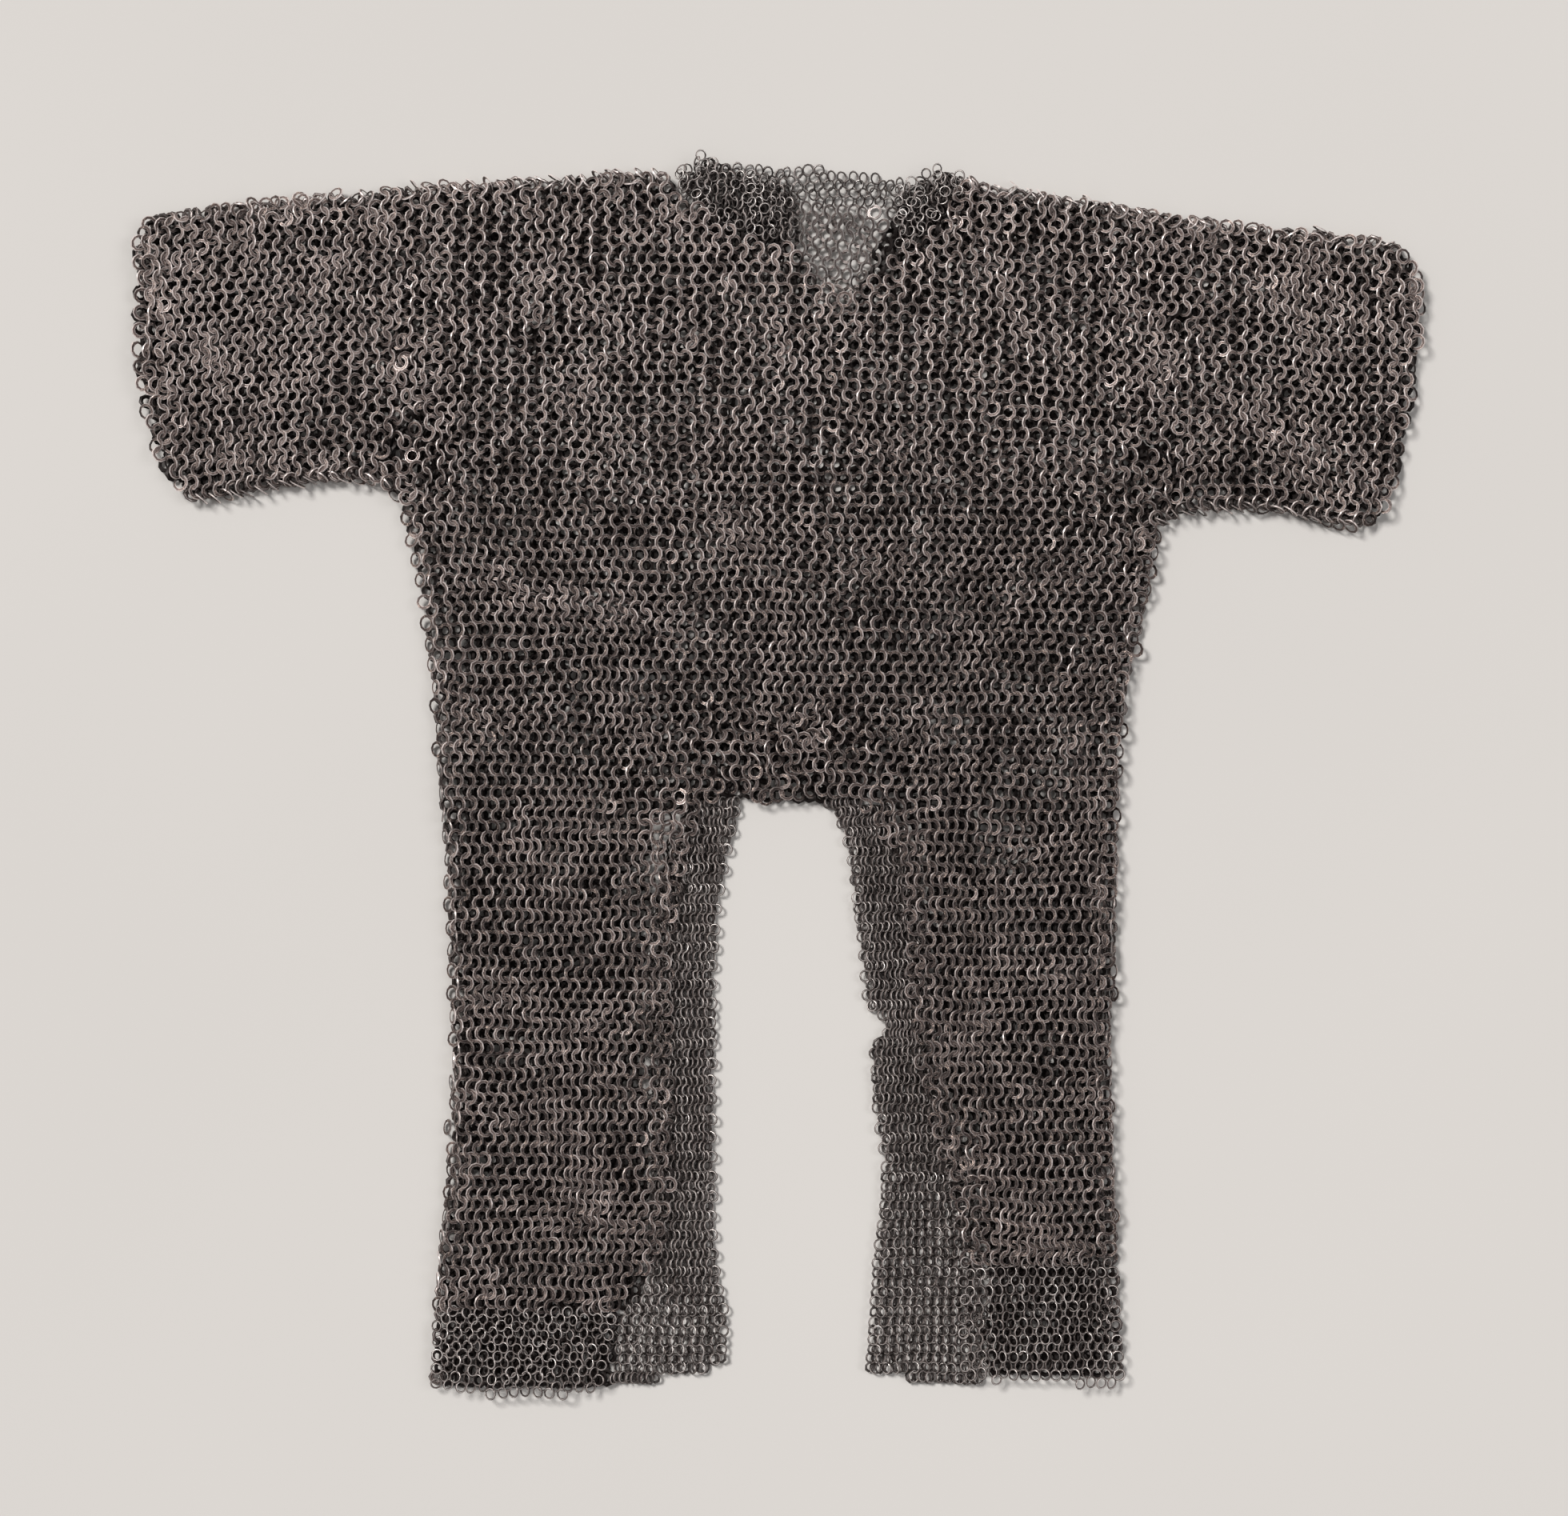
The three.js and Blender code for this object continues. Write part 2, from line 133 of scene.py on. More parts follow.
# How ruffled a place is, from 0 to 1: the sum of the bumps, each its strength times exp(-u^2 - v^2)
# for u and v the distances from its middle over its reaches
def ruffled(x, y):
    total = np.zeros_like(x)
    for middleX, middleY, reachX, reachY, strength in ruffles:
        total += strength * np.exp(-((x / mm - middleX) / reachX) ** 2 - ((y / mm - middleY) / reachY) ** 2)
    return np.clip(total, 0, 1)


# Levels at which rows lie: the running count of rows, one over the row height, passes half numbers.
# Heights are pairs of a level and a row height, both in millimetres, from the top down.
def rowLevels(top, foot, heights):
    fine = np.linspace(top, foot, outlineSettings["rowSteps"])
    height = np.interp(-fine, [-y * mm for y, _ in heights], [h * mm for _, h in heights])
    count = np.concatenate([[0], np.cumsum((fine[0] - fine[1]) / height[1:])])
    return np.interp(np.arange(int(count[-1] + 0.5)) + 0.5, count, fine)


# Each ring's outer radius, the width and thickness of its band, its section, how steeply its rows
# lean and how much that changes where they crowd, in degrees, the cell of cloth that a ring makes
# when spread flat, and how much brighter it is worn
largeRing = {
    "outer": 6.9 * mm, "band": 2.5 * mm, "thick": 1.0 * mm, "segments": 10, "section": "flat",
    "steep": 31, "crowded": 20, "cell": (10.2 * mm, 8.7 * mm), "worn": 0.0,
}
hiddenRing = {
    **largeRing, "band": 3.7 * mm, "thick": 1.15 * mm, "segments": 8, "section": "under", "steep": 26,
}
neckRing = {**largeRing, "outer": 6.5 * mm, "band": 2.3 * mm, "segments": 12}
smallRing = {
    "outer": 5.2 * mm, "band": 1.6 * mm, "thick": 1.1 * mm, "segments": 11, "section": "wire",
    "steep": 42, "crowded": -25, "cell": (7.8 * mm, 7.0 * mm), "worn": 0.14,
}
turnedRing = {**smallRing, "band": 2.3 * mm, "segments": 7, "section": "under", "steep": 30, "crowded": 20}
collarRing = {
    **smallRing, "outer": 4.8 * mm, "band": 1.3 * mm, "segments": 12,
    "cell": (7.2 * mm, 6.4 * mm), "worn": 0.0,
}
bandRing = {**smallRing, "worn": -0.1}

# A section's corners, as shares of the band's width and thickness from its middle, the place of each
# of its sides in the finish (0 to 0.25 is the flat face, 0.75 to 1 the outer rim, which is pale as worn
# metal and as a painted highlight), the sides that face inward, which take grime and painted shade,
# and whether its edges are crisp
sections = {
    "flat": {
        "corners": np.array([[0.36, 0.5], [-0.5, 0.4], [0.5, -0.5]]),
        "places": np.array([[0, 0.25], [0.3, 0.6], [0.75, 1.0]]), "inward": (1,), "crisp": True,
    },
    "under": {
        "corners": np.array([[0.5, -0.5], [0.0, 0.6], [-0.5, -0.5]]),
        "places": np.array([[0.3, 0.2], [0.2, 0.3], [0.5, 0.8]]), "inward": (0, 1), "crisp": True,
    },
    "wire": {
        "corners": np.array([[0.5, -0.4], [0.05, 0.6], [-0.5, -0.4]]),
        "places": np.array([[0.62, 0.80], [0.80, 0.62], [0.60, 0.60]]), "inward": (2,), "crisp": False,
    },
}
lapWider = 1.3  # the band's width at the lap, where the wire's ends were hammered flat, over its own
grimeAndShadeHeights = (-1.9 * mm, -0.5 * mm)  # over a ring's middle: grime and painted shade below the first, none from the second

# Heights that the layers lie at, the round of a fold, and what is kept clear of the table
laid = {
    "lowerLayer": 4.6 * mm, "upperLayer": 11.4 * mm, "middle": 7.15 * mm, "fold": 7.0 * mm,
    "clear": 0.1 * mm, "clearRadius": 1.05, "clearThick": 0.6,
}
far = 1.0  # a distance past every edge

# How far rings stray, as the spread of a normal draw: turns in degrees, shifts and heights in metres.
# A fully ruffled place adds "ruffle" times as much. A share of the rings has fallen flat. A ring's lap
# comes anywhere in its turn, in radians.
stray = {
    "turn": 6, "yaw": 8, "shift": 0.5 * mm, "height": 0.35 * mm, "size": 0.022, "oval": 0.022,
    "ruffle": 2.2, "lap": 6.283,
    "fallen": 0.002, "fallenRuffled": 0.035, "fallenTurn": 12, "fallenUp": 0.8 * mm,
    "foldTurn": 13, "foldPoke": 1.1 * mm, "edgeFlat": 0.65, "edgeReach": 0.8,
}
# How far over a fold, as the sine of the roll, rings start to stray, poke out, and are rubbed bare and
# lifted out of the painted shade
folded = {"strayFrom": 0.25, "pokeFrom": 0.8, "bareAndUnshaded": 0.8, "bareAndUnshadedFrom": 0.15, "bareAndUnshadedTo": 0.8}
leaning = {"evenPitch": 0.7, "least": 24, "most": 56}


# Angle a row leans by: the ring's own at a pitch of 0.7 of its diameter, plus the excess of the pitch
# times the ring's change where it crowds, held from 24 to 56 degrees
def lean(pitch, ring):
    crowd = pitch / (2 * ring["outer"]) - leaning["evenPitch"]
    return np.radians(np.clip(ring["steep"] + ring["crowded"] * crowd, leaning["least"], leaning["most"]))


# Settles rings on their places in a layer. A ring's normal is (sin a, -sin b cos a, cos a cos b) for
# a lean a and a tip b, turned by a small yaw. Near a fold it rolls over the edge by asin(1 - d/r),
# where d is the distance in from the fold and r the fold's radius, and its height follows the same
# round. Each ring is lifted until its lowest point clears the table.
def settle(spots, ring, layer, seed, fold=None, outward=None, edge=None, lift=0.0, calm=1.0, bareAndUnshaded=0.0):
    dice = np.random.default_rng(seed)
    x, y, row, pitch = spots["x"], spots["y"], spots["row"], spots["pitch"]
    count = len(x)
    mess = ruffled(x, y)
    loose = calm * (1 + stray["ruffle"] * mess)
    a = np.where(row % 2 == 0, 1.0, -1.0) * lean(pitch, ring)
    a = a + np.radians(dice.normal(0, stray["turn"], count)) * loose
    b = np.radians(dice.normal(0, stray["turn"], count)) * loose
    yaw = np.radians(dice.normal(0, stray["yaw"], count)) * loose
    fallen = dice.random(count) < calm * (stray["fallen"] + stray["fallenRuffled"] * mess)
    a = np.where(fallen, np.radians(dice.normal(0, stray["fallenTurn"], count)), a)
    if edge is not None:  # rings on a free edge lie flatter
        flat = 1 - stray["edgeFlat"] * np.clip(1 - edge / (stray["edgeReach"] * pitch), 0, 1)
        a, b = a * flat, b * flat
    normal = np.stack([np.sin(a), -np.sin(b) * np.cos(a), np.cos(a) * np.cos(b)], -1)
    normal = np.stack([
        normal[:, 0] * np.cos(yaw) - normal[:, 1] * np.sin(yaw),
        normal[:, 0] * np.sin(yaw) + normal[:, 1] * np.cos(yaw),
        normal[:, 2],
    ], -1)
    up = 1 if layer == "upper" else -1
    z = laid[f"{layer}Layer"] + lift + dice.normal(0, stray["height"], count) * loose
    z = z + np.where(fallen & (up > 0), stray["fallenUp"], 0)
    x = x + dice.normal(0, stray["shift"], count) * loose
    y = y + dice.normal(0, stray["shift"], count) * loose
    # share of each ring kept out of the grime and the painted shade, where it is rubbed bare and lit
    shown = np.full(count, float(bareAndUnshaded))
    if fold is not None:
        sine = np.clip(1 - fold / laid["fold"], 0, 1)
        waver = np.radians(dice.normal(0, stray["foldTurn"], count)) * (sine > folded["strayFrom"])
        roll = np.arcsin(sine) + waver
        axis = np.cross([0.0, 0.0, 1.0], outward)
        turn = (up * roll)[:, None]
        along = (axis * normal).sum(-1, keepdims=True)
        normal = (
            normal * np.cos(turn) + np.cross(axis, normal) * np.sin(turn) + axis * along * (1 - np.cos(turn))
        )
        shown = np.maximum(shown, folded["bareAndUnshaded"] * ease(sine, folded["bareAndUnshadedFrom"], folded["bareAndUnshadedTo"]))
        z = laid["middle"] + (z - laid["middle"]) * np.sqrt(1 - sine**2)
        poke = np.abs(dice.normal(0, stray["foldPoke"], count)) * (sine > folded["pokeFrom"])
        x, y = x + outward[:, 0] * poke, y + outward[:, 1] * poke
    normal /= np.linalg.norm(normal, axis=1, keepdims=True)
    size = 1 + dice.normal(0, stray["size"], count)
    lap = 0.5 * (lapWider - 1) * ring["band"]
    reach = (ring["outer"] * size * laid["clearRadius"] + lap) * np.sqrt(1 - normal[:, 2] ** 2)
    z = np.maximum(z, reach + ring["thick"] * laid["clearThick"] + laid["clear"])
    return {
        "centre": np.stack([x, y, z], -1), "normal": normal, "size": size,
        "phase": dice.uniform(0, stray["lap"], count), "shown": shown, "side": np.full(count, up),
        "oval": dice.normal(0, stray["oval"], count),
    }


# Brightness of wear: changes come with the places that they ease in between, wanders with a length
wearing = {
    "base": 0.35, "chest": (0.08, -0.05, 0.2), "shoulders": (0.17, 0.2, 0.34), "left": (0.06, 0.0, 0.1),
    "patch": (0.015, 0.13), "fleck": (0.03, 0.035), "ring": 0.13,
}


# A ring's wear, from 0 dark to 1 bright: the base, more up the chest and again up the shoulders, a
# little less on the left, plus a slow and a quick wander and a draw for each ring
def wear(centre, dice):
    x, y = centre[:, 0], centre[:, 1]
    chest, shoulders, left = wearing["chest"], wearing["shoulders"], wearing["left"]
    region = wearing["base"] + chest[0] * ease(y, *chest[1:]) + shoulders[0] * ease(y, *shoulders[1:])
    region = region - left[0] * ease(x, *left[1:])
    patch, fleck = wearing["patch"], wearing["fleck"]
    patch = patch[0] * wander(x, y, patch[1], 71) + fleck[0] * wander(x, y, fleck[1], 72)
    return np.clip(region + patch + dice.normal(0, wearing["ring"], len(x)), 0, 1)


# Rings of one kind as arrays. A point of a ring stands at centre + (r + band u)(cos t e + sin t f) +
# thick v n, for t round the ring and (u, v) a corner of its section, with e and f square to n. The
# band is a third wider at the lap, and r is longer and shorter by the ring's oval, twice round it.
def forge(rings, ring):
    count, segments = len(rings["size"]), ring["segments"]
    section = sections[ring["section"]]
    corner, places = section["corners"], section["places"]
    corners = len(corner)
    n = rings["normal"]
    e = np.cross([0.0, 1.0, 0.0], n)
    e /= np.linalg.norm(e, axis=1, keepdims=True)
    f = np.cross(n, e)
    phase = rings["phase"][:, None]
    t = phase + np.arange(segments) * 2 * math.pi / segments
    arm = np.cos(t)[..., None] * e[:, None] + np.sin(t)[..., None] * f[:, None]
    oval = 1 + rings["oval"][:, None] * np.cos(2 * t + 3 * phase)
    outer = (ring["outer"] * rings["size"])[:, None] * oval
    width = np.where(np.arange(segments) == segments // 2, lapWider, 1.0) * ring["band"]
    radius = outer[..., None] - ring["band"] / 2 + width[None, :, None] * corner[:, 0]
    points = (
        rings["centre"][:, None, None]
        + arm[:, :, None] * radius[..., None]
        + n[:, None, None] * (ring["thick"] * corner[:, 1])[None, None, :, None]
    )
    s, c = np.meshgrid(np.arange(segments), np.arange(corners), indexing="ij")
    s2, c2 = (s + 1) % segments, (c + 1) % corners
    quad = np.stack([s * corners + c, s * corners + c2, s2 * corners + c2, s2 * corners + c], -1)
    quad = quad.reshape(-1, 4)
    faces = np.arange(count)[:, None, None] * segments * corners + quad
    # the finish's map: how far round the ring, and across the section's sides
    around = np.stack([s, s, s + 1, s + 1], -1).reshape(-1) / segments
    across = np.stack([places[c, 0], places[c, 1], places[c, 1], places[c, 0]], -1).reshape(-1)
    # grime and painted shade stay on the inward sides and on the lower half, in the hollows where shade
    # falls, and the half that stands out is rubbed clean and left unshaded
    out = (points[..., 2] - rings["centre"][:, None, None, 2]) * rings["side"][:, None, None]
    out = ease(out.reshape(count, -1)[:, quad], *grimeAndShadeHeights)
    side = np.tile(np.arange(corners), segments)[None, :, None]
    rubbedAndUnshaded = np.maximum(np.where(np.isin(side, section["inward"]), 0.0, out), rings["shown"][:, None, None])
    tone = wear(rings["centre"], np.random.default_rng(count)) + ring["worn"]
    return {
        "points": points.reshape(-1, 3), "faces": faces.reshape(-1, 4),
        "band": np.tile(np.stack([around, across], -1), (count, 1)), "rubbedAndUnshaded": rubbedAndUnshaded.reshape(-1),
        "corner": np.tile(np.arange(corners), count * segments),
        "crisp": np.full(count * segments * corners, section["crisp"]),
        "wear": np.repeat(tone, segments * corners),
    }


# Joins the rings of a piece, each part with its own kind of ring, into one mesh. The count of rings
# across it is not used.
def weave(name, parts, stands, across, lies=(), material=None, slot=None):
    made = [forge(rings, ring) for rings, ring in parts]
    joined = {key: np.concatenate([part[key] for part in made]) for key in made[0]}
    start = np.cumsum([0] + [len(part["points"]) for part in made])
    faces = np.concatenate([part["faces"] + first for part, first in zip(made, start)])
    mesh = bpy.data.meshes.new(name)
    mesh.vertices.add(len(joined["points"]))
    mesh.vertices.foreach_set("co", joined["points"].astype(np.float32).reshape(-1))
    mesh.loops.add(faces.size)
    mesh.loops.foreach_set("vertex_index", faces.astype(np.int32).reshape(-1))
    mesh.polygons.add(len(faces))
    mesh.polygons.foreach_set("loop_start", np.arange(0, faces.size, 4, dtype=np.int32))
    mesh.polygons.foreach_set("use_smooth", np.ones(len(faces), bool))
    mesh.update(calc_edges=True)
    uv = joined["band"].astype(np.float32)
    mesh.uv_layers.new(name="band").data.foreach_set("uv", uv.reshape(-1))
    ends = np.zeros(len(mesh.edges) * 2, np.int32)
    mesh.edges.foreach_get("vertices", ends)
    first, last = ends[0::2], ends[1::2]
    # edges that run round a crisp ring join two corners of the same kind
    rim = joined["crisp"][first] & (joined["corner"][first] == joined["corner"][last])
    for title, kind, place, values in (
        ("sharp_edge", "BOOLEAN", "EDGE", rim),
        ("wear", "FLOAT", "POINT", joined["wear"].astype(np.float32)),
        ("rubbedAndUnshaded", "FLOAT", "CORNER", joined["rubbedAndUnshaded"].astype(np.float32)),
    ):
        mesh.attributes.new(title, kind, place).data.foreach_set("value", values)
    mesh.materials.append(material)
    piece = bpy.data.objects.new(name, mesh)
    bpy.context.scene.collection.objects.link(piece)
    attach(piece, "root")
    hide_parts(*stands)
    return piece


# Adds a shader node, sets or links its inputs, and gives back its first output or the one named
def addNode(tree, kind, inputs=None, out=0, **options):
    node = tree.nodes.new("ShaderNode" + kind)
    for key, value in options.items():
        setattr(node, key, value)
    for key, value in (inputs or {}).items():
        setInput(tree, node.inputs[key], value)
    return node.outputs[out]


# Links a socket to another node's output, or gives it a value of its own
def setInput(tree, socket, value):
    if isinstance(value, bpy.types.NodeSocket):
        tree.links.new(value, socket)
    else:
        socket.default_value = value


# One step of arithmetic on one or two values
def mathNode(tree, operation, first, second=None):
    inputs = {0: first} if second is None else {0: first, 1: second}
    return addNode(tree, "Math", inputs, operation=operation)


# A value carried in a straight line from one pair of ends to another, and held within them
def carried(tree, value, ends, to=(0.0, 1.0)):
    inputs = {"Value": value, "From Min": ends[0], "From Max": ends[1], "To Min": to[0], "To Max": to[1]}
    return addNode(tree, "MapRange", inputs)


# A first colour that goes to a second one by a factor; inputs 6 and 7 are the Mix node's two colours
def mixed(tree, factor, first, second):
    node = tree.nodes.new("ShaderNodeMix")
    node.data_type = "RGBA"
    tree.links.new(factor, node.inputs[0])
    for place, colour in ((6, first), (7, second)):
        setInput(tree, node.inputs[place], (*colour, 1) if isinstance(colour, tuple) else colour)
    return node.outputs[2]


# Colours in a straight line between stops, each a position and a colour
def ramp(tree, factor, stops):
    node = tree.nodes.new("ShaderNodeValToRGB")
    tree.links.new(factor, node.inputs["Fac"])
    elements = node.color_ramp.elements
    while len(elements) < len(stops):
        elements.new(0.5)
    for element, (position, colour) in zip(elements, stops):
        element.position, element.color = position, (*colour, 1)
    return node.outputs["Color"]


# In both finishes the grime colour stands for grime and painted shade together, and the rim colour for worn
# bright metal and a painted highlight
largeFinish = {
    "dark": (0.037, 0.025, 0.023), "middle": (0.120, 0.087, 0.079), "pale": (0.265, 0.208, 0.193),
    "rim": (0.95, 0.85, 0.82), "speck": (0.84, 0.66, 0.56), "grimeAndShade": (0.013, 0.008, 0.007), "metal": 0.5,
}
smallFinish = {
    "dark": (0.075, 0.055, 0.051), "middle": (0.21, 0.170, 0.160), "pale": (0.42, 0.36, 0.345),
    "rim": (0.84, 0.79, 0.76), "speck": (0.66, 0.58, 0.52), "grimeAndShade": (0.015, 0.010, 0.009), "metal": 0.55,
}
# Noises have a scale in turns for each metre, a detail and a roughness. A pair is the two ends of a
# mask, or of what it gives.
ironTexture = {
    "mottle": (210.0, 4.0, 0.65), "grain": (900.0, 3.0, 0.7), "fine": (1500.0, 2.0, 0.6),
    "tone": (0.62, 1.42), "speck": (0.585, 0.66),
    "outerRim": (0.735, 0.76), "halfFace": 0.125, "faceLine": (0.028, 0.008),
    "rubbed": (0.15, 0.70), "rubbedLeast": 0.2, "cluster": (0.40, 0.66), "clusterGain": (-0.10, 0.06),
    "roughFrom": (0.3, 0.7), "rough": (0.42, 0.66), "rimSmoother": -0.2, "bump": 0.35, "bumpDepth": 0.4 * mm,
}


# Old iron: brown-grey faces that follow wear plus noise, thin rims rubbed bright and painted pale as a
# highlight, pale specks in clusters where corrosion has lifted, and grime with painted shade wherever
# the ring is not rubbed clean and unshaded
def agedIron(name, finish):
    material = bpy.data.materials.new(name)
    material.use_nodes = True
    tree = material.node_tree
    shader = tree.nodes["Principled BSDF"]
    made = ironTexture
    place = addNode(tree, "TexCoord", out="Object")
    worn = addNode(tree, "Attribute", out="Fac", attribute_name="wear")
    band = addNode(tree, "UVMap", uv_map="band")
    across = addNode(tree, "SeparateXYZ", {0: band}, out="Y")
    mottle, grain, fine = (
        addNode(tree, "TexNoise", {"Vector": place, "Scale": scale, "Detail": detail, "Roughness": rough})
        for scale, detail, rough in (made["mottle"], made["grain"], made["fine"])
    )
    value = carried(tree, mathNode(tree, "ADD", worn, mottle), made["tone"])
    face = ramp(tree, value, [(0.0, finish["dark"]), (0.5, finish["middle"]), (1.0, finish["pale"])])
    # rims, pale as worn metal and as a painted highlight: all of the outer side, and thin lines along both
    # edges of the flat face, which are as far from its middle as the middle is from 0
    outer = carried(tree, across, made["outerRim"])
    line = mathNode(tree, "ABSOLUTE", mathNode(tree, "SUBTRACT", across, made["halfFace"]))
    line = mathNode(tree, "ABSOLUTE", mathNode(tree, "SUBTRACT", line, made["halfFace"]))
    line = carried(tree, line, made["faceLine"])
    rubbed = carried(tree, value, made["rubbed"], (made["rubbedLeast"], 1.0))
    rim = mathNode(tree, "MULTIPLY", mathNode(tree, "MAXIMUM", outer, line), rubbed)
    # painted highlight: the rims take the pale rim colour, which also stands for worn bright metal
    colour = mixed(tree, rim, face, finish["rim"])
    cluster = carried(tree, mottle, made["cluster"], made["clusterGain"])
    speck = carried(tree, mathNode(tree, "ADD", fine, cluster), made["speck"])
    colour = mixed(tree, speck, colour, finish["speck"])
    # near-black grime and painted shade where the ring is not rubbed clean and unshaded
    rubbedAndUnshaded = addNode(tree, "Attribute", out="Fac", attribute_name="rubbedAndUnshaded")
    colour = mixed(tree, rubbedAndUnshaded, finish["grimeAndShade"], colour)
    tree.links.new(colour, shader.inputs["Base Color"])
    shader.inputs["Metallic"].default_value = finish["metal"]
    rough = carried(tree, grain, made["roughFrom"], made["rough"])
    smoother = mathNode(tree, "MULTIPLY", rim, made["rimSmoother"])
    tree.links.new(mathNode(tree, "ADD", rough, smoother), shader.inputs["Roughness"])
    bump = {"Height": grain, "Strength": made["bump"], "Distance": made["bumpDepth"]}
    tree.links.new(addNode(tree, "Bump", bump, out="Normal"), shader.inputs["Normal"])
    return material


largeIron = agedIron("agedIron", largeFinish)
smallIron = agedIron("agedSteel", smallFinish)
large = {"material": largeIron, "slot": "large_rings"}
small = {"material": smallIron, "slot": "small_rings"}
print("finishes made")


# The large weave. Columns are counted along the arms and chest, from the right cuff to the left one.
cloth = {
    "columns": [0, 8, 16, 22, 76, 87, 97],
    "across": [-0.519, -0.445, -0.368, -0.306, 0.307, 0.420, 0.520],  # where those columns lie
    "rows": 36,  # from the underarm to the shoulder
    "inserted": {8: 0.292, 9: 0.292, 23: 0.322, 24: 0.322},  # rows that end short of the cuffs, and where
    "taper": 0.05, "closeUp": 0.06,  # how an inserted row ends, and how rows close up towards the top
    "armpit": (0.222, 0.206), "shoulder": (-0.092, 0.154), "neckMiddle": 0.03,
    "cuffFold": (-0.480, 0.492), "cuffTop": 0.500,
    "waist": (-30, 30),  # first and last column below the armpits
    "firstRow": 0.214, "slant": 0.08,  # level of the first of those rows, and how soon rows are level
    "rowHeights": [  # at levels, in millimetres
        (214, 7.4), (176, 7.9), (124, 8.4), (79, 8.3), (27, 8.6), (-25, 9.0), (-100, 9.1), (-300, 9.0),
        (-520, 8.8),
    ],
    "slitTop": -0.0165, "slit": (-0.058, 0.062),
    "skirtRight": ([17, 50, 110, 300, 500], [9.1, 8.2, 7.95, 7.9, 7.5]),  # depths and pitches, millimetres
    "skirtLeft": ([17, 50, 110, 300, 500], [9.1, 8.1, 7.8, 7.6, 7.5]),
    "warp": 3.0 * mm, "warpLength": 0.10, "warpUp": 0.8, "calmEdge": 0.02, "betweenArms": 0.3,
    "fineWarp": 1.1 * mm, "fineLength": 0.042, "fineUp": 0.7, "fineLeast": 0.6, "fineMore": 0.8,
    "fineRise": (0.18, 0.3),
    "frontFoot": -0.431, "backFoot": -0.500, "backCloser": 1.14,  # the back's rings lie a little closer
}
bodyRight, bodyLeft = cloth["across"][3], cloth["across"][4]


# Line that the upper rows start from: the underarm folds, and straight from armpit to armpit
def armLine(x):
    body = np.interp(x, [bodyRight, bodyLeft], cloth["armpit"])
    right = low("sleeve_right", 0, np.maximum(x, cloth["cuffFold"][0]))
    left = low("sleeve_left", 0, np.minimum(x, cloth["cuffFold"][1]))
    return np.where(x < bodyRight, right, np.where(x > bodyLeft, left, body))


# Line that the upper rows end at: the sleeve and shoulder folds, and straight across the neck
def topLine(x):
    start, end = cloth["shoulder"]
    beside = np.where(x < cloth["neckMiddle"], np.minimum(x, start), np.maximum(x, end))
    body = high("body_front", 0, beside)
    bridge = np.interp(x, [start, end], high("body_front", 0, np.array([start, end])))
    body = np.where((x > start) & (x < end), bridge, body)
    right = high("sleeve_right", 0, np.maximum(x, -cloth["cuffTop"]))
    left = high("sleeve_left", 0, np.minimum(x, cloth["cuffTop"]))
    return np.where(x < bodyRight, right, np.where(x > bodyLeft, left, body))


# Moves rings off the even weave by a slow and a fine wander, each its reach times the wander. The
# slow one's reach fades near an edge, and the fine one's grows up the chest.
def warp(x, y, room, seed):
    reach = cloth["warp"] * np.clip(room / cloth["calmEdge"], 0, 1)
    fine = cloth["fineWarp"] * (cloth["fineLeast"] + cloth["fineMore"] * ease(y, *cloth["fineRise"]))
    slowLength, fineLength = cloth["warpLength"], cloth["fineLength"]
    return (
        x + reach * wander(x, y, slowLength, seed) + fine * wander(x, y, fineLength, seed + 5),
        y + cloth["warpUp"] * reach * wander(x, y, slowLength, seed + 1)
        + cloth["fineUp"] * fine * wander(x, y, fineLength, seed + 6),
    )


# Upper rows of a layer. A row takes a share of the height between the two lines equal to its weight
# over all the weights. Inserted rows have a weight that falls from 1 to 0 where they end. A layer
# with bridges has one more row on each line.
def upperRows(seed, bridges, closer=1.0):
    count = cloth["rows"]
    row = np.arange(count)
    extra = [-1, count] if bridges else []
    column = np.arange(int(cloth["columns"][-1] * closer) + 1)
    grid = np.meshgrid(np.concatenate([row, extra]).astype(int), column, indexing="ij")
    rows, columns = grid[0].ravel(), (grid[1].ravel() + 0.5 * (grid[0].ravel() % 2)) / closer
    x = np.interp(columns, cloth["columns"], cloth["across"])
    ends = np.array([cloth["inserted"].get(int(r), 9 * far) for r in row])  # others never end
    weight = 1 - ease(np.abs(x)[:, None], ends - cloth["taper"], ends + cloth["taper"])
    index = np.clip(rows, 0, count - 1)
    own = weight[np.arange(len(x)), index]
    before = (weight * (row < index[:, None])).sum(1)
    share = (before + own / 2) / weight.sum(1)
    share = np.where(rows < 0, 0.0, np.where(rows >= count, 1.0, share))
    foot, top = armLine(x), topLine(x)
    y = foot + (top - foot) * share * (1 + cloth["closeUp"] - cloth["closeUp"] * share)
    between = np.abs(x) < cloth["betweenArms"]  # there the foot is no edge
    room = np.minimum(y - foot + cloth["calmEdge"] * between, top - y)
    warpedX, warpedY = warp(x, y, room, seed)
    pitch = np.interp(columns + 0.5, cloth["columns"], cloth["across"])
    pitch = pitch - np.interp(columns - 0.5, cloth["columns"], cloth["across"])
    return pick({"x": warpedX, "y": warpedY, "row": rows, "pitch": pitch}, own > 0.5)


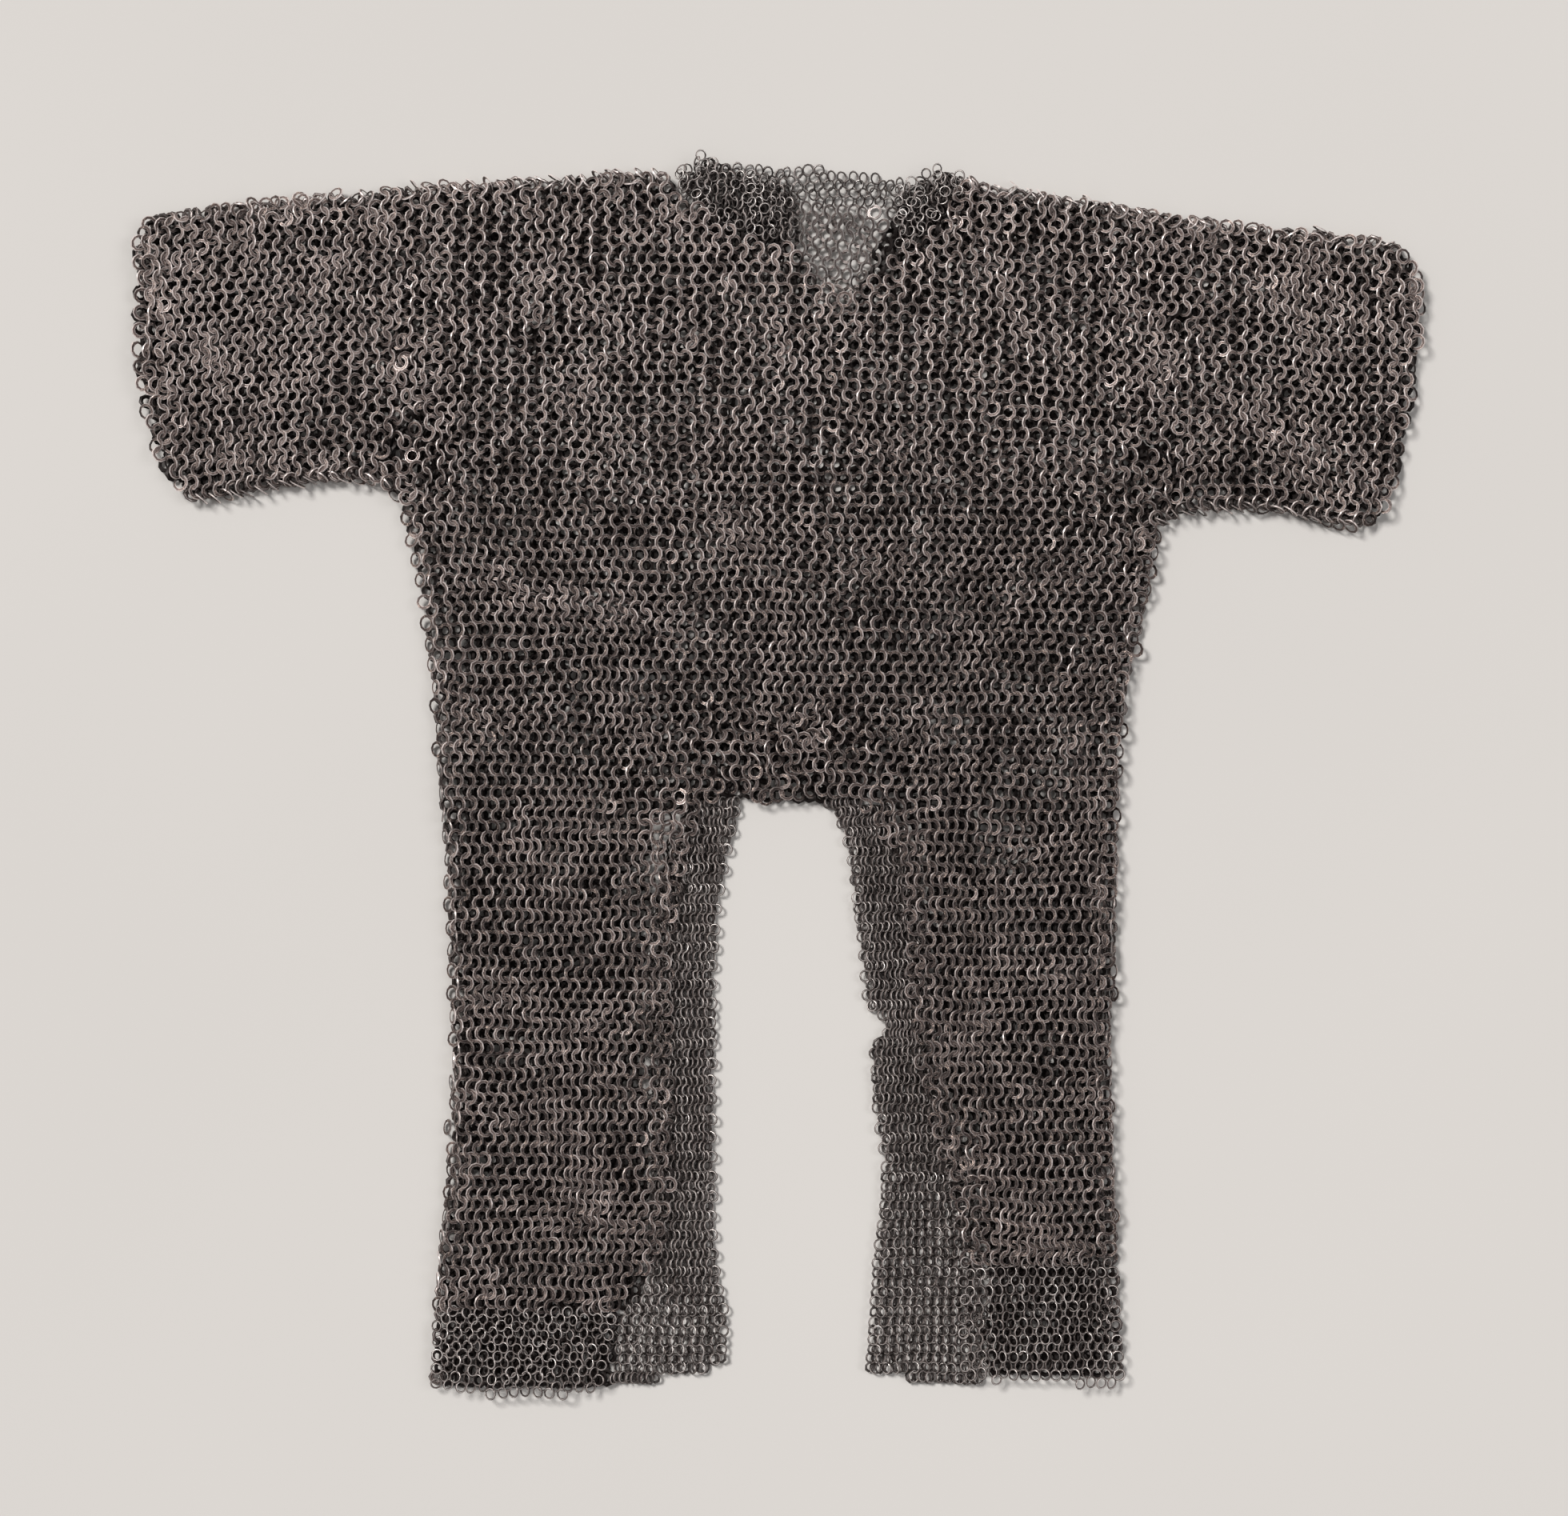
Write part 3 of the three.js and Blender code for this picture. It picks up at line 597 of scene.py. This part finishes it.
# Lower rows of a layer, from the armpits down. Level rows that slant by exp(-depth / slant) near the
# armpits; columns share the body's width, and below the slit they keep their own pitch, counted in
# from the folded side.
def lowerRows(seed, foot, closer=1.0):
    levels = rowLevels(cloth["firstRow"], foot, cloth["rowHeights"])
    first, last = cloth["waist"]
    column = first + np.arange(int((last - first) * closer) + 1) / closer
    rows, columns = [g.ravel() for g in np.meshgrid(-1 - np.arange(len(levels)), column, indexing="ij")]
    level = levels[-1 - rows]
    columns = columns + 0.5 / closer * (rows % 2)
    share = (columns - first) / (last - first)
    aboveSlit = np.maximum(level, cloth["slitTop"])
    right, left = low("body_front", 1, aboveSlit), high("body_front", 1, aboveSlit)
    pitch = (left - right) / (last - first)
    x = right + share * (left - right)
    below = level < cloth["slitTop"]
    half = (last - first) / 2
    rightSide, leftSide = low("skirt_back_right", 1, level), high("skirt_back_left", 1, level)
    for side, edge, inward, steps, own in (
        ("skirtRight", rightSide, 1, columns - first, columns - first < half),
        ("skirtLeft", leftSide, -1, last - columns, last - columns <= half),
    ):
        depths, pitches = cloth[side]
        skirt = np.interp(-level, np.array(depths) * mm, np.array(pitches) * mm)
        x = np.where(below & own, edge + inward * steps * skirt, x)
        pitch = np.where(below & own, skirt, pitch)
    y = level + (armLine(x) - cloth["firstRow"]) * np.exp(-(cloth["firstRow"] - level) / cloth["slant"])
    skirtRoom = np.where(share < 0.5, x - rightSide, leftSide - x)
    room = np.where(below, skirtRoom, np.minimum(x - right, left - x))
    x, y = warp(x, y, room, seed)
    return pick({"x": x, "y": y, "row": rows, "pitch": pitch}, share <= 1.0001)  # with the last column


# Those of a layer's places that a mask keeps
def pick(spots, mask):
    return {key: value[mask] for key, value in spots.items()}


# Nearest of several folds, each given as distances in and an outward direction
def nearest(*folds):
    distances = np.stack([distance for distance, _ in folds])
    which = distances.argmin(0)
    return distances.min(0), np.array([(*outward, 0.0) for _, outward in folds])[which]


# The same outward direction, across, for every ring
def allOutward(sign, count):
    return np.tile([float(sign), 0.0, 0.0], (count, 1))


upperFront, upperBack = upperRows(11, True), upperRows(31, False, closer=cloth["backCloser"])
lowerFront = lowerRows(11, cloth["frontFoot"])
lowerBack = lowerRows(31, cloth["backFoot"], closer=cloth["backCloser"])
print("large weave laid out")


# Clearances from the neck, the folds and the sides, the V of the neck, and rings across each piece
bodySettings = {
    "neckRoom": 2 * mm, "foldOver": 2 * mm, "sideOver": 1 * mm, "backFoldIn": 2 * mm,
    "openMiddle": 0.049, "openHalf": 0.012, "openSlope": 0.5, "openWidensFrom": 0.385, "openFoot": 0.378,
    "chest": 54, "waist": 60, "back": 64, "neck": 11, "neckCalm": 0.8, "neckBareAndUnshaded": 0.45,
}


# Rings of a layer of the body above the armpits, and how they lie: the distance in from the shoulder
# fold, and that from the free edge of the neck
def bodyUpper(spots, panel):
    start, end = cloth["shoulder"]
    x, y = spots["x"], spots["y"]
    neck = (x > start) & (x < end)
    made = bodySettings
    top = np.where(neck, high(panel, 0, x) - made["neckRoom"], topLine(x) + made["foldOver"])
    inside = (x >= bodyRight) & (x <= bodyLeft) & (y < top) & (spots["row"] >= 0)
    spots, neck = pick(spots, inside), neck[inside]
    x, y = spots["x"], spots["y"]
    fold, outward = nearest((np.where(neck, far, np.maximum(topLine(x) - y, 0)), (0, 1)))
    return spots, {"fold": fold, "outward": outward, "edge": np.where(neck, high(panel, 0, x) - y, far)}


# Rings of a layer of the body from the armpits to the slit, and how they lie: the distance in from
# the nearer side fold, and that from the top of the slit
def bodyLower(spots, panel):
    x, y = spots["x"], spots["y"]
    over = bodySettings["sideOver"]
    inside = (y > cloth["slitTop"]) & (sideIn(panel, -1, x, y) > -over) & (sideIn(panel, 1, x, y) > -over)
    spots = pick(spots, inside)
    x, y = spots["x"], spots["y"]
    right, left = np.maximum(sideIn(panel, -1, x, y), 0), np.maximum(sideIn(panel, 1, x, y), 0)
    fold, outward = nearest((right, (-1, 0)), (left, (1, 0)))
    slit = (x > cloth["slit"][0]) & (x < cloth["slit"][1])
    return spots, {"fold": fold, "outward": outward, "edge": np.where(slit, y - cloth["slitTop"], far)}


# Front of the body in two pieces, above and below the armpits
def bodyFront():
    spots, how = bodyUpper(upperFront, "body_front")
    rings = settle(spots, largeRing, "upper", 101, **how)
    lies = ["bodyBack", "neckBack"]
    weave("chestFront", [(rings, largeRing)], ["body_front"], bodySettings["chest"], lies, **large)
    spots, how = bodyLower(lowerFront, "body_front")
    rings = settle(spots, largeRing, "upper", 102, **how)
    weave("waistFront", [(rings, largeRing)], ["body_front"], bodySettings["waist"], ["bodyBack"], **large)


# Back of the body. Where the V of the neck shows it, its rings are flat ones like the front's.
# The V's half width is openHalf plus openSlope times the height above openWidensFrom.
def bodyBack():
    spots, how = bodyUpper(upperBack, "body_back")
    made = bodySettings
    half = made["openHalf"] + made["openSlope"] * (spots["y"] - made["openWidensFrom"])
    shows = (np.abs(spots["x"] - made["openMiddle"]) < half) & (spots["y"] > made["openFoot"])
    seen = settle(pick(spots, shows), neckRing, "lower", 105, calm=made["neckCalm"], bareAndUnshaded=made["neckBareAndUnshaded"])
    finish = {"material": smallIron, "slot": "large_rings"}
    weave("neckBack", [(seen, neckRing)], ["body_back"], made["neck"], **finish)
    upper = settle(pick(spots, ~shows), hiddenRing, "lower", 103, **pick(how, ~shows))
    spots, how = bodyLower(lowerBack, "body_back")
    kept = how["fold"] > made["backFoldIn"]
    lower = settle(pick(spots, kept), hiddenRing, "lower", 104, **pick(how, kept))
    weave("bodyBack", [(upper, hiddenRing), (lower, hiddenRing)], ["body_back"], made["back"], **large)


sleeveSettings = {"cuffRoom": 4.6 * mm, "foldEnd": 0.486, "right": 22, "left": 21}  # rings along each arm


# Sleeves, each a flattened tube of two layers that meet at the underarm and shoulder folds
def sleeves():
    for side, sign in (("right", -1), ("left", 1)):
        panel, parts = f"sleeve_{side}", []
        for source, layer, ring, seed in (
            (upperFront, "upper", largeRing, 201 + sign),
            (upperBack, "lower", hiddenRing, 203 + sign),
        ):
            cuff = sideIn(panel, sign, source["x"], source["y"])
            beyond = source["x"] < bodyRight if sign < 0 else source["x"] > bodyLeft
            inside = beyond & (cuff > sleeveSettings["cuffRoom"])
            spots, cuff = pick(source, inside), cuff[inside]
            x, y = spots["x"], spots["y"]
            under = np.where(np.abs(x) < sleeveSettings["foldEnd"], np.maximum(y - armLine(x), 0), far)
            fold, outward = nearest((under, (0, -1)), (np.maximum(topLine(x) - y, 0), (0, 1)))
            parts.append((settle(spots, ring, layer, seed, fold=fold, outward=outward, edge=cuff), ring))
        weave(f"sleeve{side.capitalize()}", parts, [panel], sleeveSettings[side], **large)


# Rings across each strip at its surface, room at the sides, and how the right one opens out
stripSettings = {
    "right": 11, "left": 12, "rowHeight": 7.8, "inset": 3 * mm, "wave": 0.9 * mm,
    "lift": 0.3 * mm, "bareAndUnshaded": 0.9, "turnedIn": 3 * mm, "turnedLift": -1.2 * mm, "turnedBareAndUnshaded": 0.2,
    "opens": 0.028, "opensFrom": 0.395, "opensTo": 0.455,
}


# How much wider the right slit strip is towards the hem, eased in between two depths
def opening(level):
    return stripSettings["opens"] * ease(-level, stripSettings["opensFrom"], stripSettings["opensTo"])


# Rings across a skirt half, clearances from the slit's side, the fold and the hem, and the ellipse
# near the slit where the right half is one layer thick
skirtSettings = {
    "across": 21, "slitRoom": 3 * mm, "foldRoom": {"upper": -1 * mm, "lower": 2 * mm},
    "hemRoom": {"upper": 0.0, "lower": 10 * mm}, "stripOver": 1 * mm,
    "thin": {"x": -0.095, "y": -0.062, "halfWidth": 0.013, "halfHeight": 0.040},
}


# Skirt halves: large rings from the slit down to the bands of small rings at the hem
def skirts():
    for side, sign in (("right", -1), ("left", 1)):
        for layer, ring, face, source, seed in (
            ("upper", largeRing, "front", lowerFront, 301 + sign),
            ("lower", hiddenRing, "back", lowerBack, 303 + sign),
        ):
            panel = f"skirt_{face}_{side}"
            x, y = source["x"], source["y"]
            room, depth = sideIn(panel, -sign, x, y), sideIn(panel, sign, x, y)
            inside = (y < cloth["slitTop"]) & (y > low(panel, 0, x) + skirtSettings["hemRoom"][layer])
            inside &= (room > skirtSettings["slitRoom"]) & (depth > skirtSettings["foldRoom"][layer])
            if layer == "lower" and sign < 0:
                thin = skirtSettings["thin"]
                u, v = (x - thin["x"]) / thin["halfWidth"], (y - thin["y"]) / thin["halfHeight"]
                inside &= u**2 + v**2 > 1
                inside &= x < low("slit_strip_right", 1, y) + skirtSettings["stripOver"] - opening(y)
            spots = pick(source, inside)
            depth, room = np.maximum(depth[inside], 0), room[inside]
            edge = room if layer == "upper" else np.full(len(depth), far)
            how = {"fold": depth, "outward": allOutward(sign, len(depth)), "edge": edge}
            rings = settle(spots, ring, layer, seed, **how)
            lies = [f"skirtBack{side.capitalize()}"] if layer == "upper" else []
            title = f"skirt{face.capitalize()}{side.capitalize()}"
            weave(title, [(rings, ring)], [panel], skirtSettings["across"], lies, **large)


# Lengths of the slow waves of a small weave, and how much less it waves across than up
weaveWaves = {"lengthAcross": 0.06, "lengthUp": 0.07, "acrossShare": 0.6}


# A panel's own weave. Columns take equal shares of the width at each level, every other row is half
# a column across, and rows lie at the row heights given. "extend" may move the panel's sides first.
def ownWeave(panel, columns, heights, seed, inset=0.0, ends=(3 * mm, 3 * mm), extend=None, wave=1.6 * mm):
    lowest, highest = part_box(panel)
    levels = rowLevels(highest[1], lowest[1], heights)
    grid = np.meshgrid(np.arange(len(levels)), np.arange(columns), indexing="ij")
    rows, column = grid[0].ravel(), grid[1].ravel()
    y = levels[rows]
    right, left = low(panel, 1, y), high(panel, 1, y)
    if extend is not None:
        right, left = extend(y, right, left)
    right, left = right + inset, left - inset
    pitch = (left - right) / (columns - 0.5)
    x = right + (column + 0.5 * (rows % 2)) * pitch
    x = x + wave * wander(x, y, weaveWaves["lengthAcross"], seed) * weaveWaves["acrossShare"]
    y = y + wave * wander(x, y, weaveWaves["lengthUp"], seed + 1)
    inside = (y > low(panel, 0, x) + ends[0]) & (y < high(panel, 0, x) - ends[1])
    return pick({"x": x, "y": y, "row": rows, "pitch": pitch}, inside)


# One row height at every level
def evenRows(height):
    return [(600, height), (-600, height)]


# Rings across each hem band, and row heights at two levels, in millimetres
hemSettings = {
    "right": {"columns": 14, "heights": [(-430, 6.2), (-510, 6.0)]},
    "left": {"columns": 15, "heights": [(-390, 7.0), (-500, 6.8)]},
    "inset": 2 * mm, "topRoom": 0.0, "footRoom": 4 * mm, "bareAndUnshaded": 0.9,
}


# Bands of small rings along the hem, folded over at the skirt's outer side
def hems():
    for side, sign in (("right", -1), ("left", 1)):
        panel, made = f"hem_band_{side}", hemSettings[side]
        ends = (hemSettings["footRoom"], hemSettings["topRoom"])
        how = {"inset": hemSettings["inset"], "ends": ends}
        spots = ownWeave(panel, made["columns"], made["heights"], 41 + sign, **how)
        x, y = spots["x"], spots["y"]
        how = {
            "fold": np.maximum(sideIn(panel, sign, x, y), 0), "outward": allOutward(sign, len(x)),
            "edge": np.minimum(y - low(panel, 0, x), sideIn(panel, -sign, x, y)),
            "bareAndUnshaded": hemSettings["bareAndUnshaded"],
        }
        rings = settle(spots, smallRing, "upper", 401 + sign, **how)
        lies = [f"skirtBack{side.capitalize()}"]
        weave(f"hemBand{side.capitalize()}", [(rings, smallRing)], [panel], made["columns"], lies, **small)


# Strips of small rings along the slit. The slit's edge is turned under, so a second, flatter layer
# lies among the first one's rings, half a pitch away from the slit.
def strips():
    made = stripSettings
    for side, sign in (("right", -1), ("left", 1)):
        panel = f"slit_strip_{side}"
        opens = (lambda level, right, left: (right - opening(level), left)) if sign < 0 else None
        how = {"inset": made["inset"], "extend": opens, "wave": made["wave"]}
        spots = ownWeave(panel, made[side], evenRows(made["rowHeight"]), 51 + sign, **how)
        x, y = spots["x"], spots["y"]
        edge = np.minimum(np.maximum(sideIn(panel, -sign, x, y) - made["inset"], 0), y - low(panel, 0, x))
        how = {"edge": edge, "lift": made["lift"], "bareAndUnshaded": made["bareAndUnshaded"]}
        rings = settle(spots, smallRing, "lower", 501 + sign, **how)
        turned = {**spots, "x": x + 0.5 * spots["pitch"] * (1 if sign < 0 else -1), "row": spots["row"] + 1}
        turned = pick(turned, edge > made["turnedIn"])
        how = {"lift": made["turnedLift"], "bareAndUnshaded": made["turnedBareAndUnshaded"]}
        turned = settle(turned, turnedRing, "lower", 511 + sign, **how)
        parts = [(rings, smallRing), (turned, turnedRing)]
        weave(f"slitStrip{side.capitalize()}", parts, [panel], 2 * made[side], **small)


# Neck pieces keep their pitch up to their peaks, so their columns run between the sides of the box
# round the whole panel
def straightSides(panel):
    first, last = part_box(panel)
    return lambda level, right, left: (np.full_like(level, first[0]), np.full_like(level, last[0]))


neckSettings = {"columns": 27, "rowHeight": 6.0, "ends": (-1 * mm, 3.5 * mm), "bareAndUnshaded": 0.2}


# Band of small rings behind the neck
def neckBand():
    panel, made = "neck_band", neckSettings
    how = {"ends": made["ends"], "extend": straightSides(panel)}
    spots = ownWeave(panel, made["columns"], evenRows(made["rowHeight"]), 61, **how)
    edge = high(panel, 0, spots["x"]) - spots["y"]
    rings = settle(spots, bandRing, "lower", 601, edge=edge, bareAndUnshaded=made["bareAndUnshaded"])
    weave("neckBand", [(rings, bandRing)], [panel], made["columns"], **small)


# Rings across each collar, and where it lies two rings deep
collarSettings = {
    "right": 14, "left": 8, "rowHeight": 5.6, "ends": (0.0, 2.5 * mm), "bareAndUnshaded": 0.3,
    "deepFrom": 7 * mm, "deepLift": 1.0 * mm, "deepBareAndUnshaded": 0.1,
}


# Ruffled collars beside the V, two rings deep except along their free edge
def collars():
    made = collarSettings
    for side, seed in (("right", 63), ("left", 65)):
        panel = f"collar_{side}"
        how = {"ends": made["ends"], "extend": straightSides(panel)}
        spots = ownWeave(panel, made[side], evenRows(made["rowHeight"]), seed, **how)
        edge = high(panel, 0, spots["x"]) - spots["y"]
        rings = settle(spots, collarRing, "upper", 600 + seed, edge=edge, bareAndUnshaded=made["bareAndUnshaded"])
        under = {**spots, "x": spots["x"] + 0.5 * spots["pitch"], "row": spots["row"] + 1}
        under = pick(under, edge > made["deepFrom"])
        how = {"lift": made["deepLift"], "bareAndUnshaded": made["deepBareAndUnshaded"]}
        under = settle(under, turnedRing, "lower", 620 + seed, **how)
        parts, lies = [(rings, collarRing), (under, turnedRing)], ["bodyBack", "neckBand"]
        weave(f"collar{side.capitalize()}", parts, [panel], 2 * made[side], lies, **small)


bodyBack()
bodyFront()
sleeves()
skirts()
strips()
hems()
neckBand()
collars()
print("mail laid")

tableSettings = {
    "half": 4.0, "level": 0.0, "colour": (0.70, 0.675, 0.648), "cloud": 0.015, "cloudScale": 1.3,
    "roughness": 0.9, "specular": 0.2,
}


# Pale table, faintly clouded: its colour is times 1 - cloud to 1 + cloud by a slow noise
def table():
    half, z, tone = tableSettings["half"], tableSettings["level"], tableSettings["colour"]
    mesh = bpy.data.meshes.new("table")
    corners = [(-half, -half, z), (half, -half, z), (half, half, z), (-half, half, z)]
    mesh.from_pydata(corners, [], [(0, 1, 2, 3)])
    mesh.update()
    paper = bpy.data.materials.new("palePaper")
    paper.use_nodes = True
    tree = paper.node_tree
    shader = tree.nodes["Principled BSDF"]
    place = addNode(tree, "TexCoord", out="Object")
    cloud = addNode(tree, "TexNoise", {"Vector": place, "Scale": tableSettings["cloudScale"], "Detail": 2.0})
    change = tableSettings["cloud"]
    darker, paler = tuple(v * (1 - change) for v in tone), tuple(v * (1 + change) for v in tone)
    tree.links.new(ramp(tree, cloud, [(0.3, darker), (0.7, paler)]), shader.inputs["Base Color"])
    shader.inputs["Roughness"].default_value = tableSettings["roughness"]
    shader.inputs["Specular IOR Level"].default_value = tableSettings["specular"]
    mesh.materials.append(paper)
    top = bpy.data.objects.new("table", mesh)
    bpy.context.scene.collection.objects.link(top)


lightSettings = {
    "key": {"toward": (-0.62, 0.60, 1.0), "spread": 18, "power": 2.75, "colour": (1.0, 0.985, 0.965)},
    "fill": {"toward": (0.9, 0.1, 1.0), "spread": 30, "power": 0.50, "colour": (0.97, 0.985, 1.0)},
    "sky": {"colour": (1.0, 0.97, 0.965), "strength": 0.24},
}


# A broad soft key from the upper left, a weak fill from the right, and an even pale sky
def lights():
    for name in ("key", "fill"):
        made = lightSettings[name]
        lamp = bpy.data.lights.new(name, "SUN")
        lamp.angle, lamp.energy, lamp.color = math.radians(made["spread"]), made["power"], made["colour"]
        holder = bpy.data.objects.new(name, lamp)
        holder.rotation_euler = Vector(made["toward"]).to_track_quat("Z", "Y").to_euler()
        bpy.context.scene.collection.objects.link(holder)
    world = bpy.data.worlds.new("studio")
    bpy.context.scene.world = world
    world.use_nodes = True
    background = world.node_tree.nodes["Background"]
    background.inputs["Color"].default_value = (*lightSettings["sky"]["colour"], 1)
    background.inputs["Strength"].default_value = lightSettings["sky"]["strength"]


table()
lights()
print("table and light set")
